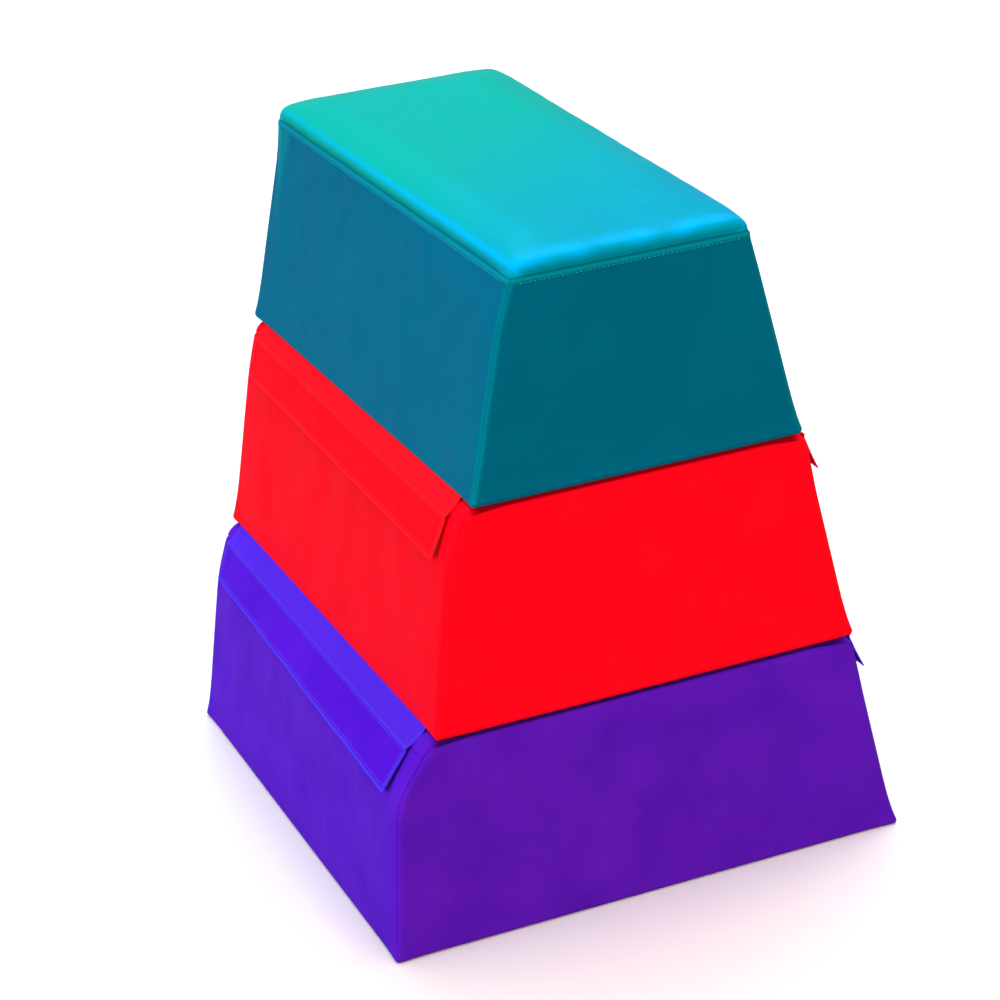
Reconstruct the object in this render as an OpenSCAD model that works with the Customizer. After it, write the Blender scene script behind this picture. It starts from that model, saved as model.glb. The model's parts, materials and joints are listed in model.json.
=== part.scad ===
/* [Stack] */
// Width at the floor, across the sloping sides
base_w = 720; // [660:10:900]
// Width of the middle section at its base
middle_base_w = 584; // [540:2:620]
// Width of the top section at its base
top_base_w = 448; // [400:2:500]
// Width of the top face, as its sides would meet it without their rounded edges
top_w = 306; // [240:2:370]
// Length between the upright ends
length = 764; // [640:2:1000]
// Height of the bottom section
bottom_h = 300; // [240:5:380]
// Height of the middle section
middle_h = 300; // [240:5:380]
// Height of the top section
top_h = 300; // [240:5:380]
// How far a section stands out past the one on it, at each sloping side
joint_step = 8; // [4:1:10]
// Radius of the long top edges of the bottom and middle sections
edge_r = 24; // [20:1:30]
// Radius of the rolled long edges of the padded top
roll_r = 24; // [14:1:30]

/* [Foam and covers] */
// Thickness of the soft foam layer under the top face
pad_t = 40; // [30:5:60]
// Thickness of a cover panel
panel_t = 1; // [0.8:0.1:2]

/* [Flaps] */
// Thickness of a hemmed flap
flap_t = 2; // [1.6:0.1:3]
// Room from a flap's end to the end of its section
flap_inset = 35; // [10:1:60]
// Height of the flap's hem above and below the hook tape
hem_h = 2; // [1:0.5:6]
// Width of the hook tape and of the loop tape
tape_w = 50; // [30:5:50]
// Thickness of each tape
tape_t = 1.6; // [1:0.1:2]
// Room between the hook tape and the loop tape
tape_gap = 0.3; // [0.2:0.1:0.5]
// Room from a tape's end to the flap's end
tape_end = 8; // [4:1:20]

/* [Zips] */
// Length of the zip in each base
zip_l = 560; // [400:10:600]
// Width of one row of zip teeth
coil_w = 3; // [2.5:0.1:4]
// Thickness of the zip teeth
coil_t = 2.4; // [2:0.1:3]
// Length of the zip slider
slider_l = 16; // [14:1:20]
// Width of the zip slider
slider_w = 12; // [11:1:14]
// Length of the webbing pull
pull_l = 28; // [20:1:35]

/* [Hidden] */

teal = "#00A6B2";
red = "#FF081C";
violet = "#5A1CC8";
firm_foam = "#E8DFC4";
soft_foam = "#F2EDD8";
hook_grey = "#3A3B40";
loop_grey = "#55565C";
zip_black = "#202124";
zip_metal = "#9A9CA0";

left = -1;
right = 1;
front = -1;
rear = 1;

// Flat steps in each rounded edge
arc_steps = 6;
// Clearance between a sewn piece that swings and the seam that holds it
seam_gap = 0.3;
// Clearance between a flap and the rounded edge under it
drape_gap = 0.4;
// Clearance between a tape and the cover or flap it is sewn to
sewn_gap = 0.01;
// Running clearance of a zip slider
run_gap = 0.3;

// A section is [height of its base, its height, half width at its base, half width at its top,
// radius of its long top edges]
bottom = [0, bottom_h, base_w / 2, middle_base_w / 2 + joint_step, edge_r];
middle = [bottom_h, middle_h, middle_base_w / 2, top_base_w / 2 + joint_step, edge_r];
top = [bottom_h + middle_h, top_h, top_base_w / 2, top_w / 2, roll_r];

// Distance of a flap's lower band from the sloping side, up to the middle of its thickness
band_out = 2 * tape_t + tape_gap + flap_t / 2;
// Distance of that middle from the centre of the rounded edge that its upper band lies against
drape_r = edge_r + drape_gap + flap_t / 2;

// Zip: half of the slit between the two rows of teeth, where the slider's post runs
post_t = 0.6;
slit = post_t / 2 + run_gap;
coil_x = slit + coil_w;
// Zip: the slot in the base, the folded welts beside it and the tapes on them
slot_w = 22;
welt_w = 12;
welt_t = 3.6;
zip_tape_t = 0.6;
zip_room = zip_l + 12;
stop_l = 4;
zip_tape_z = panel_t + welt_t;
zip_mid_z = zip_tape_z + zip_tape_t / 2;
// Zip slider: its two plates and the bail that carries the webbing pull
plate_t = 1;
plate_z = coil_t / 2 + run_gap;
post_l = 4;
bail_l = 5;
bail_bar = 1.4;
bail_t = 1;
bail_z = 1;
bail_w = 9;
pull_w = 6;
pull_t = 0.6;
pull_gap = 0.2;
slider_y = zip_l / 2 - stop_l - slider_l / 2 - 1;
// Groove in the foam above the zip
groove_w = slot_w + 2 * welt_w + 2;
groove_l = zip_room + 4;
groove_h = zip_mid_z + plate_z + plate_t + 1;

// Lean of a section's sloping sides from upright
function lean(s) = atan((s[2] - s[3]) / s[1]);

// Half width of a section at a height above its base
function half_width(s, z) = s[2] - (s[2] - s[3]) * z / s[1];

// Height of the seam under the rounded top edges
function seam_z(s) = s[1] - s[4] * (1 - sin(lean(s)));

// Where a section's rounded top edge meets its sloping side: how far down the side
function edge_down(s) = s[4] * tan((90 - lean(s)) / 2);

// Places beside a sloping side are [how far down it from its top corner, how far out from it]
function beside(s, place) = [
  s[3] + place[0] * sin(lean(s)) + place[1] * cos(lean(s)),
  s[0] + s[1] - place[0] * cos(lean(s)) + place[1] * sin(lean(s))
];

// A flap's root is at the seam of the section above, which stands a step back
function flap_root(s) = [
  -joint_step * sin(lean(s)),
  flap_t / 2 + seam_gap - joint_step * cos(lean(s))
];
// Its upper band touches the circle round the rounded edge, and meets its lower band at the bend
function band_angle(to_centre) =
  asin(drape_r / norm(to_centre)) + atan2(to_centre[1], to_centre[0]);
function bend_down(s) = flap_root(s)[0]
  + (band_out - flap_root(s)[1]) / tan(band_angle([edge_down(s), -s[4]] - flap_root(s)));
// Its lower band holds the hook tape
function tape_down(s) = max(bend_down(s), edge_down(s)) + hem_h;
function hem_down(s) = tape_down(s) + tape_w + hem_h;

function unit(v) = v / norm(v);
function outward(v) = [-v[1], v[0]];

// Outline of a section across its sloping sides, moved inwards by an inset
module outline(s, inset = 0) {
  r = s[4];
  a = lean(s);
  arc_z = s[1] - r;
  arc_x = half_width(s, arc_z) - r / cos(a);
  foot = half_width(s, inset) - inset / cos(a);
  angles = [for (i = [0:arc_steps]) a + (90 - a) * i / arc_steps];
  right_arc = [for (t = angles) [arc_x + (r - inset) * cos(t), arc_z + (r - inset) * sin(t)]];
  left_arc = [for (i = [arc_steps:-1:0]) [-right_arc[i][0], right_arc[i][1]]];
  polygon(concat([[-foot, inset], [foot, inset]], right_arc, left_arc));
}

// Stretch a drawing along the length, stopping short of both ends
module lengthwise(short = 0) {
  rotate([90, 0, 0])
    linear_extrude(length - 2 * short, center = true)
      children();
}

// The part of a section's drawing between two heights above its base
module between(low, high) {
  intersection() {
    children();
    translate([-base_w, low])
      square([2 * base_w, high - low]);
  }
}

module cover_band(s) {
  difference() {
    outline(s);
    outline(s, panel_t);
  }
}

module top_panel(s) {
  translate([0, 0, s[0]])
    lengthwise(panel_t)
      between(seam_z(s), s[1])
        cover_band(s);
}

module side_panel(s, side) {
  translate([0, 0, s[0]])
    lengthwise(panel_t)
      intersection() {
        between(panel_t, seam_z(s))
          cover_band(s);
        translate([side * base_w / 2, s[1] / 2])
          square([base_w, s[1]], center = true);
      }
}

module end_panel(s, end) {
  translate([0, end * (length - panel_t) / 2, s[0]])
    rotate([90, 0, 0])
      linear_extrude(panel_t, center = true)
        outline(s);
}

// The base has a slot for the zip, with a folded welt along each of its long edges
module base_panel(s) {
  translate([0, 0, s[0]]) {
    difference() {
      lengthwise(panel_t)
        between(0, panel_t)
          outline(s);
      cube([slot_w, zip_room, 3 * panel_t], center = true);
    }
    for (side = [left, right])
      translate([side * (slot_w + welt_w) / 2, 0, panel_t + welt_t / 2])
        cube([welt_w, zip_room, welt_t], center = true);
  }
}

// Foam inside a cover, from its base up to a cut
module foam(s, cut) {
  translate([0, 0, s[0]])
    difference() {
      lengthwise(panel_t)
        between(0, cut)
          outline(s, panel_t);
      cube([groove_w, groove_l, 2 * groove_h], center = true);
    }
}

module soft_layer(s) {
  translate([0, 0, s[0]])
    lengthwise(panel_t)
      between(s[1] - panel_t - pad_t, s[1])
        outline(s, panel_t);
}

// Flap from the seam of the section above, bent over the top edge of the section below
module flap(s, side) {
  root = beside(s, flap_root(s));
  bend = beside(s, [bend_down(s), band_out]);
  hem = beside(s, [hem_down(s), band_out]);
  upper_out = outward(unit(bend - root));
  lower_out = outward(unit(hem - bend));
  corner = (upper_out + lower_out) / (1 + upper_out * lower_out);
  half = flap_t / 2;
  start = atan2(upper_out[1], upper_out[0]);
  round_root = [for (i = [0:arc_steps])
    root + half * [cos(start + 180 * i / arc_steps), sin(start + 180 * i / arc_steps)]];
  under = [bend - half * corner, hem - half * lower_out];
  over = [hem + half * lower_out, bend + half * corner];
  mirror([side == left ? 1 : 0, 0, 0])
    lengthwise(flap_inset)
      polygon(concat(round_root, under, over));
}

// Strip of tape on the sloping side, between two distances out from it
module tape(s, side, low, high) {
  mirror([side == left ? 1 : 0, 0, 0])
    lengthwise(flap_inset + tape_end)
      polygon([
        beside(s, [tape_down(s), low]),
        beside(s, [tape_down(s), high]),
        beside(s, [tape_down(s) + tape_w, high]),
        beside(s, [tape_down(s) + tape_w, low])
      ]);
}

module loop_tape(s, side) {
  tape(s, side, sewn_gap, tape_t);
}

module hook_tape(s, side) {
  tape(s, side, tape_t + tape_gap, 2 * tape_t + tape_gap - sewn_gap);
}

module zip_tapes(s) {
  tape_x = slot_w / 2 + welt_w;
  for (side = [left, right])
    translate([side * (coil_x + tape_x) / 2, 0, s[0] + zip_mid_z])
      cube([tape_x - coil_x, zip_room, zip_tape_t], center = true);
}

module zip_coils(s) {
  for (side = [left, right])
    translate([side * (slit + coil_x) / 2, 0, s[0] + zip_mid_z])
      cube([coil_w, zip_l, coil_t], center = true);
}

module zip_stops(s) {
  for (end = [front, rear])
    translate([0, end * (zip_l + stop_l) / 2, s[0] + zip_mid_z])
      cube([2 * coil_x, stop_l, coil_t], center = true);
}

// Two plates joined by a post between the teeth, with flanges outside the teeth and a bail
module zip_slider(s) {
  flange_in = coil_x + run_gap;
  flange_w = slider_w / 2 - flange_in;
  flange_h = plate_z - zip_tape_t / 2 - run_gap;
  translate([0, slider_y, s[0] + zip_mid_z]) {
    for (way = [-1, 1]) {
      translate([0, 0, way * (plate_z + plate_t / 2)])
        cube([slider_w, slider_l, plate_t], center = true);
      for (side = [left, right])
        translate([side * (flange_in + flange_w / 2), 0, way * (plate_z - flange_h / 2)])
          cube([flange_w, slider_l, flange_h], center = true);
    }
    translate([0, (slider_l - post_l) / 2, 0])
      cube([post_t, post_l, 2 * plate_z], center = true);
  }
  translate([0, slider_y - slider_l / 2, s[0] + bail_z])
    difference() {
      translate([-bail_w / 2, -bail_l, 0])
        cube([bail_w, bail_l + 2, zip_mid_z - plate_z - bail_z]);
      translate([-pull_w / 2 - run_gap, bail_bar - bail_l, -1])
        cube([pull_w + 2 * run_gap, bail_l + 3, zip_mid_z]);
      translate([-bail_w, -bail_l - 1, bail_t])
        cube([2 * bail_w, bail_bar + 1, zip_mid_z]);
    }
}

// Loop of webbing round the bail's bar
module zip_pull(s) {
  inner_h = bail_t + 2 * pull_gap;
  bar_y = slider_y - slider_l / 2 - bail_l + bail_bar / 2;
  inner_y = bail_bar / 2 + pull_gap;
  translate([0, bar_y, s[0] + bail_z + bail_t / 2])
    difference() {
      translate([-pull_w / 2, pull_t + inner_y - pull_l, -inner_h / 2 - pull_t])
        cube([pull_w, pull_l, inner_h + 2 * pull_t]);
      translate([-pull_w, 2 * pull_t + inner_y - pull_l, -inner_h / 2])
        cube([2 * pull_w, pull_l - 2 * pull_t, inner_h]);
    }
}

module bottom_core() { color(firm_foam) foam(bottom, bottom_h); }
module bottom_top_panel() { color(violet) top_panel(bottom); }
module bottom_left_panel() { color(violet) side_panel(bottom, left); }
module bottom_right_panel() { color(violet) side_panel(bottom, right); }
module bottom_front_panel() { color(violet) end_panel(bottom, front); }
module bottom_rear_panel() { color(violet) end_panel(bottom, rear); }
module bottom_base_panel() { color(violet) base_panel(bottom); }
module bottom_left_loop_tape() { color(loop_grey) loop_tape(bottom, left); }
module bottom_right_loop_tape() { color(loop_grey) loop_tape(bottom, right); }
module bottom_zip_tapes() { color(zip_black) zip_tapes(bottom); }
module bottom_zip_coils() { color(zip_black) zip_coils(bottom); }
module bottom_zip_stops() { color(zip_metal) zip_stops(bottom); }
module bottom_zip_slider() { color(zip_metal) zip_slider(bottom); }
module bottom_zip_pull() { color(zip_black) zip_pull(bottom); }

module middle_core() { color(firm_foam) foam(middle, middle_h); }
module middle_top_panel() { color(red) top_panel(middle); }
module middle_left_panel() { color(red) side_panel(middle, left); }
module middle_right_panel() { color(red) side_panel(middle, right); }
module middle_front_panel() { color(red) end_panel(middle, front); }
module middle_rear_panel() { color(red) end_panel(middle, rear); }
module middle_base_panel() { color(red) base_panel(middle); }
module middle_left_loop_tape() { color(loop_grey) loop_tape(middle, left); }
module middle_right_loop_tape() { color(loop_grey) loop_tape(middle, right); }
module middle_left_flap() { color(violet) flap(bottom, left); }
module middle_right_flap() { color(violet) flap(bottom, right); }
module middle_left_hook_tape() { color(hook_grey) hook_tape(bottom, left); }
module middle_right_hook_tape() { color(hook_grey) hook_tape(bottom, right); }
module middle_zip_tapes() { color(zip_black) zip_tapes(middle); }
module middle_zip_coils() { color(zip_black) zip_coils(middle); }
module middle_zip_stops() { color(zip_metal) zip_stops(middle); }
module middle_zip_slider() { color(zip_metal) zip_slider(middle); }
module middle_zip_pull() { color(zip_black) zip_pull(middle); }

module top_core() { color(firm_foam) foam(top, top_h - panel_t - pad_t); }
module top_pad() { color(soft_foam) soft_layer(top); }
module top_top_panel() { color(teal) top_panel(top); }
module top_left_panel() { color(teal) side_panel(top, left); }
module top_right_panel() { color(teal) side_panel(top, right); }
module top_front_panel() { color(teal) end_panel(top, front); }
module top_rear_panel() { color(teal) end_panel(top, rear); }
module top_base_panel() { color(teal) base_panel(top); }
module top_left_flap() { color(red) flap(middle, left); }
module top_right_flap() { color(red) flap(middle, right); }
module top_left_hook_tape() { color(hook_grey) hook_tape(middle, left); }
module top_right_hook_tape() { color(hook_grey) hook_tape(middle, right); }
module top_zip_tapes() { color(zip_black) zip_tapes(top); }
module top_zip_coils() { color(zip_black) zip_coils(top); }
module top_zip_stops() { color(zip_metal) zip_stops(top); }
module top_zip_slider() { color(zip_metal) zip_slider(top); }
module top_zip_pull() { color(zip_black) zip_pull(top); }

bottom_core();
bottom_top_panel();
bottom_left_panel();
bottom_right_panel();
bottom_front_panel();
bottom_rear_panel();
bottom_base_panel();
bottom_left_loop_tape();
bottom_right_loop_tape();
bottom_zip_tapes();
bottom_zip_coils();
bottom_zip_stops();
bottom_zip_slider();
bottom_zip_pull();
middle_core();
middle_top_panel();
middle_left_panel();
middle_right_panel();
middle_front_panel();
middle_rear_panel();
middle_base_panel();
middle_left_loop_tape();
middle_right_loop_tape();
middle_left_flap();
middle_right_flap();
middle_left_hook_tape();
middle_right_hook_tape();
middle_zip_tapes();
middle_zip_coils();
middle_zip_stops();
middle_zip_slider();
middle_zip_pull();
top_core();
top_pad();
top_top_panel();
top_left_panel();
top_right_panel();
top_front_panel();
top_rear_panel();
top_base_panel();
top_left_flap();
top_right_flap();
top_left_hook_tape();
top_right_hook_tape();
top_zip_tapes();
top_zip_coils();
top_zip_stops();
top_zip_slider();
top_zip_pull();
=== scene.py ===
import json
import math
import bpy
import bmesh
import numpy as np
from mathutils import Matrix, Vector, noise
from mathutils.kdtree import KDTree

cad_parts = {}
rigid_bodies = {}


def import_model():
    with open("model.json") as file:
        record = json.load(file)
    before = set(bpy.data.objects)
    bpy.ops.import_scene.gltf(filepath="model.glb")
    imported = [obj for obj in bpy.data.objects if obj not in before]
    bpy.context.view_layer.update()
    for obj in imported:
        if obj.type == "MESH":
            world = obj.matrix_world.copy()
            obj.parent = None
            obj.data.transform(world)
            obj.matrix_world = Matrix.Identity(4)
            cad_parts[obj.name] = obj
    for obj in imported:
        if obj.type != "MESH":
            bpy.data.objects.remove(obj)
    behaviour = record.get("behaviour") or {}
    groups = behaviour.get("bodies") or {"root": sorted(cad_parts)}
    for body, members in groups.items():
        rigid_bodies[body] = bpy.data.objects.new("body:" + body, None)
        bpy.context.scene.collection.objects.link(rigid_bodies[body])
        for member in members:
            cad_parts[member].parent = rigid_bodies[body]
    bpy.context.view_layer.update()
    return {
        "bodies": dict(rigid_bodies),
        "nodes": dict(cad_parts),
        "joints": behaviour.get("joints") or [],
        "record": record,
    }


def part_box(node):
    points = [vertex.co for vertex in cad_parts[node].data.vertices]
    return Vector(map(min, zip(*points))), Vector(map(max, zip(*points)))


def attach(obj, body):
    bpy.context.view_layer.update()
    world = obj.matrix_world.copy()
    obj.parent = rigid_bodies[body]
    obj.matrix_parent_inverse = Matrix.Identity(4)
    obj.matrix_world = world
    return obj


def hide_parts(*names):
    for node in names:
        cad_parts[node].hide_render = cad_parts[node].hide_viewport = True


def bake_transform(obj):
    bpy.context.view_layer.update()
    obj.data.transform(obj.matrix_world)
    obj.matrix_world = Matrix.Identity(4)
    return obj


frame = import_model()

mm = 0.001
sideSign = {"left": -1, "right": 1}
endSign = {"front": -1, "rear": 1}
sectionBelow = {"middle": "bottom", "top": "middle"}


def ease(t):
    t = np.clip(t, 0, 1)
    return t * t * (3 - 2 * t)


print("camera")
camera = dict(place=(-1.4765, -3.5365, 2.1347), forward=(0.34528, 0.84439, -0.40961),
              right=(0.91462, -0.40059, -0.05482), lens=111.6)


def makeCamera():
    forward = Vector(camera["forward"]).normalized()
    right = Vector(camera["right"])
    right = (right - forward * right.dot(forward)).normalized()
    data = bpy.data.cameras.new("camera")
    data.lens = camera["lens"]
    data.sensor_width = 36
    data.clip_end = 50
    obj = bpy.data.objects.new("camera", data)
    obj.matrix_world = Matrix((right, right.cross(forward), -forward)).transposed().to_4x4()
    obj.location = camera["place"]
    bpy.context.scene.collection.objects.link(obj)
    bpy.context.scene.camera = obj


makeCamera()

print("materials")


def linear(hexColour):
    parts = [int(hexColour[i:i + 2], 16) / 255 for i in (1, 3, 5)]
    return (*[p / 12.92 if p <= 0.04045 else ((p + 0.055) / 1.055) ** 2.4 for p in parts], 1)


def addNode(tree, kind, inputs=None, **settings):
    made = tree.nodes.new("ShaderNode" + kind)
    for key, value in settings.items():
        setattr(made, key, value)
    for key, value in (inputs or {}).items():
        if isinstance(value, bpy.types.NodeSocket):
            tree.links.new(value, made.inputs[key])
        else:
            made.inputs[key].default_value = value
    return made


def newMaterial(name, **shader):
    material = bpy.data.materials.new(name)
    material.use_nodes = True
    tree = material.node_tree
    bsdf = tree.nodes["Principled BSDF"]
    for key, value in shader.items():
        bsdf.inputs[key.replace("_", " ")].default_value = value
    place = addNode(tree, "TexCoord").outputs["Object"]
    return material, tree, bsdf, place


# PVC-coated polyester, calendered and embossed: a satin skin with a fine grain; soft, slow changes of shade,
# painted into its colour, stand for the unevenness of the foam under it
vinylFinish = dict(roughness=0.36, grainMm=1.6, grainDepth=0.05, mottleMm=90, creaseMm=38)


def vinyl(name, colour, deep, sheen, rim, gloss=0.015, far=None):
    material, tree, bsdf, place = newMaterial(name, IOR=1.52, Specular_IOR_Level=gloss,
                                              Specular_Tint=linear(sheen))
    mottle = addNode(tree, "TexNoise", {"Vector": place, "Detail": 3, "Roughness": 0.6,
                                        "Scale": 1 / (vinylFinish["mottleMm"] * mm)})
    shade = addNode(tree, "MapRange", {"Value": mottle.outputs["Fac"], "From Min": 0.3, "From Max": 0.7})
    blend = addNode(tree, "Mix", {"Factor": shade.outputs["Result"], "A": linear(deep),
                                  "B": linear(colour)}, data_type="RGBA")
    # painted sheen: the colour is painted bluer towards the near right and greener towards the far left
    if far:  # the cloth turns from one shade to another from its near right to its far left
        parts = addNode(tree, "SeparateXYZ", {"Vector": place})
        skew = addNode(tree, "Math", {0: parts.outputs["X"], 1: -0.7, 2: parts.outputs["Y"]},
                       operation="MULTIPLY_ADD")
        turn = addNode(tree, "MapRange", {"Value": skew.outputs["Value"], "From Min": -0.36, "From Max": 0.1})
        blend = addNode(tree, "Mix", {"Factor": turn.outputs["Result"], "A": blend.outputs["Result"],
                                      "B": linear(far)}, data_type="RGBA")
    # painted highlights make the coat lighter over seams, rolls, hems, folds and corners, and painted shade
    # makes it darker in the fold under the section above; the rim attribute says how much
    edge = addNode(tree, "Attribute", attribute_name="rim")
    blend = addNode(tree, "Mix", {"Factor": edge.outputs["Fac"], "A": blend.outputs["Result"],
                                  "B": linear(rim)}, data_type="RGBA")
    tree.links.new(blend.outputs["Result"], bsdf.inputs["Base Color"])
    smear = addNode(tree, "TexNoise", {"Vector": place, "Scale": 1 / 0.035, "Detail": 4})
    rough = addNode(tree, "MapRange", {"Value": smear.outputs["Fac"], "From Min": 0.3, "From Max": 0.7,
                                       "To Min": vinylFinish["roughness"] - 0.05,
                                       "To Max": vinylFinish["roughness"] + 0.06})
    tree.links.new(rough.outputs["Result"], bsdf.inputs["Roughness"])
    grain = addNode(tree, "TexVoronoi", {"Vector": place, "Scale": 1 / (vinylFinish["grainMm"] * mm)},
                    feature="SMOOTH_F1")
    fine = addNode(tree, "Bump", {"Height": grain.outputs["Distance"], "Strength": 0.35,
                                  "Distance": vinylFinish["grainDepth"] * mm})
    crease = addNode(tree, "TexNoise", {"Vector": place, "Scale": 1 / (vinylFinish["creaseMm"] * mm),
                                        "Detail": 2, "Distortion": 0.4})
    soft = addNode(tree, "Bump", {"Height": crease.outputs["Fac"], "Strength": 0.5,
                                  "Distance": 1.2 * mm, "Normal": fine.outputs["Normal"]})
    tree.links.new(soft.outputs["Normal"], bsdf.inputs["Normal"])
    return material


# Woven tape with a pile: hooks or loops stand on it, so it stays dull from every side; painted shade darkens
# it between them
def pileTape(name, colour, recessShade, pileMm):
    material, tree, bsdf, place = newMaterial(name, Roughness=0.92, Specular_IOR_Level=0.2)
    bsdf.inputs["Sheen Weight"].default_value = 0.35
    pile = addNode(tree, "TexVoronoi", {"Vector": place, "Scale": 1 / (pileMm * mm)})
    blend = addNode(tree, "Mix", {"Factor": pile.outputs["Distance"], "A": linear(colour),
                                  "B": linear(recessShade)}, data_type="RGBA")
    tree.links.new(blend.outputs["Result"], bsdf.inputs["Base Color"])
    bump = addNode(tree, "Bump", {"Height": pile.outputs["Distance"], "Strength": 0.8,
                                  "Distance": 0.6 * mm}, invert=True)
    tree.links.new(bump.outputs["Normal"], bsdf.inputs["Normal"])
    return material


# Cut open-cell foam: a matte face full of small cells, with painted shade in their pits
def cutFoam(name, colour, recessShade, cellMm):
    material, tree, bsdf, place = newMaterial(name, Roughness=0.95, Specular_IOR_Level=0.15)
    cells = addNode(tree, "TexVoronoi", {"Vector": place, "Scale": 1 / (cellMm * mm)})
    blend = addNode(tree, "Mix", {"Factor": cells.outputs["Distance"], "A": linear(recessShade),
                                  "B": linear(colour)}, data_type="RGBA")
    tree.links.new(blend.outputs["Result"], bsdf.inputs["Base Color"])
    bump = addNode(tree, "Bump", {"Height": cells.outputs["Distance"], "Strength": 0.6,
                                  "Distance": 0.8 * mm})
    tree.links.new(bump.outputs["Normal"], bsdf.inputs["Normal"])
    return material


# Woven polyester zip tape and webbing: ribs along the weft, dull, with painted shade in the gaps between
# threads
def wovenTape(name, colour, recessShade, ribMm):
    material, tree, bsdf, place = newMaterial(name, Roughness=0.8, Specular_IOR_Level=0.25)
    warp = addNode(tree, "TexWave", {"Vector": place, "Scale": 1 / (ribMm * mm * 20), "Distortion": 0.2},
                   bands_direction="Y")
    weft = addNode(tree, "TexWave", {"Vector": place, "Scale": 1 / (ribMm * mm * 20), "Distortion": 0.2},
                   bands_direction="X")
    cloth = addNode(tree, "Math", {0: warp.outputs["Fac"], 1: weft.outputs["Fac"]}, operation="MULTIPLY")
    blend = addNode(tree, "Mix", {"Factor": cloth.outputs["Value"], "A": linear(recessShade),
                                  "B": linear(colour)}, data_type="RGBA")
    tree.links.new(blend.outputs["Result"], bsdf.inputs["Base Color"])
    bump = addNode(tree, "Bump", {"Height": cloth.outputs["Value"], "Strength": 0.6,
                                  "Distance": 0.15 * mm})
    tree.links.new(bump.outputs["Normal"], bsdf.inputs["Normal"])
    return material


# Twisted polyester sewing thread, slightly silky, with a ridge for each ply
def thread(name, colour):
    material, tree, bsdf, place = newMaterial(name, Roughness=0.5, Specular_IOR_Level=0.2)
    ply = addNode(tree, "TexWave", {"Vector": place, "Scale": 1 / (0.7 * mm * 20), "Distortion": 1},
                  bands_direction="DIAGONAL")
    # painted shade: the thread is darker between its plies
    paintedShadeBetweenPlies = [part * 0.75 for part in linear(colour)[:3]] + [1]  # darker between the plies
    shade = addNode(tree, "Mix", {"Factor": ply.outputs["Fac"], "A": paintedShadeBetweenPlies, "B": linear(colour)},
                    data_type="RGBA")
    tree.links.new(shade.outputs["Result"], bsdf.inputs["Base Color"])
    bump = addNode(tree, "Bump", {"Height": ply.outputs["Fac"], "Strength": 0.5, "Distance": 0.1 * mm})
    tree.links.new(bump.outputs["Normal"], bsdf.inputs["Normal"])
    return material


# Moulded polyester or nickel-plated zinc: small variations of gloss from handling
def smallPart(name, colour, metallic, roughness):
    material, tree, bsdf, place = newMaterial(name, Base_Color=linear(colour), Metallic=metallic)
    smear = addNode(tree, "TexNoise", {"Vector": place, "Scale": 1 / 0.002, "Detail": 4})
    rough = addNode(tree, "MapRange", {"Value": smear.outputs["Fac"], "To Min": roughness - 0.08,
                                       "To Max": roughness + 0.12})
    tree.links.new(rough.outputs["Result"], bsdf.inputs["Roughness"])
    bump = addNode(tree, "Bump", {"Height": smear.outputs["Fac"], "Strength": 0.15,
                                  "Distance": 0.05 * mm})
    tree.links.new(bump.outputs["Normal"], bsdf.inputs["Normal"])
    return material


# Each coat's colours: its own, a deeper one for its painted mottle shade, its sheen, and its rim colour. The
# rims hold painted shade in the fold under the section above on the violet and the red, and painted
# highlights on the teal and on the flaps. The violet flaps' copy is painted bluer for the light from above,
# and the teal top is the teal painted lighter for the light from above, with a painted sheen that turns it
# greener towards the far left.
materials = {
    "bottom": vinyl("violet PVC-coated polyester", "#601ED8", "#5616CC", "#5060FF", "#240848"),
    "bottomFlap": vinyl("violet PVC-coated polyester, flap, painted highlights", "#5616DC", "#4E10D2", "#5060FF", "#4A40FF"),
    "middle": vinyl("red PVC-coated polyester", "#FF0A22", "#FA0820", "#FF3040", "#6A0010"),
    "middleFlap": vinyl("red PVC-coated polyester, flap, painted highlights", "#FF0A20", "#F4081C", "#FF3040", "#FF2030"),
    "top": vinyl("teal PVC-coated polyester", "#007092", "#006A8C", "#10C0FF", "#00A0A8"),
    "crown": vinyl("teal PVC-coated polyester, top, painted lighter", "#00A2BC", "#009CB8", "#10A0FF", "#00B4FF",
                   0.02, "#00AC9A"),
    "violetThread": thread("violet polyester thread", "#6652FF"),
    "redThread": thread("red polyester thread", "#FF2030"),
    "tealThread": thread("teal polyester thread", "#00A8D8"),
    "hook": pileTape("hook tape", "#3A3B40", "#1E1F22", 1.4),
    "loop": pileTape("loop tape", "#55565C", "#303135", 0.9),
    "firmFoam": cutFoam("firm foam", "#E8DFC4", "#BFB391", 1.6),
    "softFoam": cutFoam("soft foam", "#F2EDD8", "#CFC6A6", 2.2),
    "zipWoven": wovenTape("woven zip tape", "#26272B", "#0E0F11", 0.5),
    "webbing": wovenTape("polyester webbing", "#26272B", "#0E0F11", 0.8),
    "teeth": smallPart("moulded polyester teeth", "#202124", 0, 0.45),
    "metal": smallPart("nickel-plated zinc", "#9A9CA0", 1, 0.32),
}

print("sections")
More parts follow.
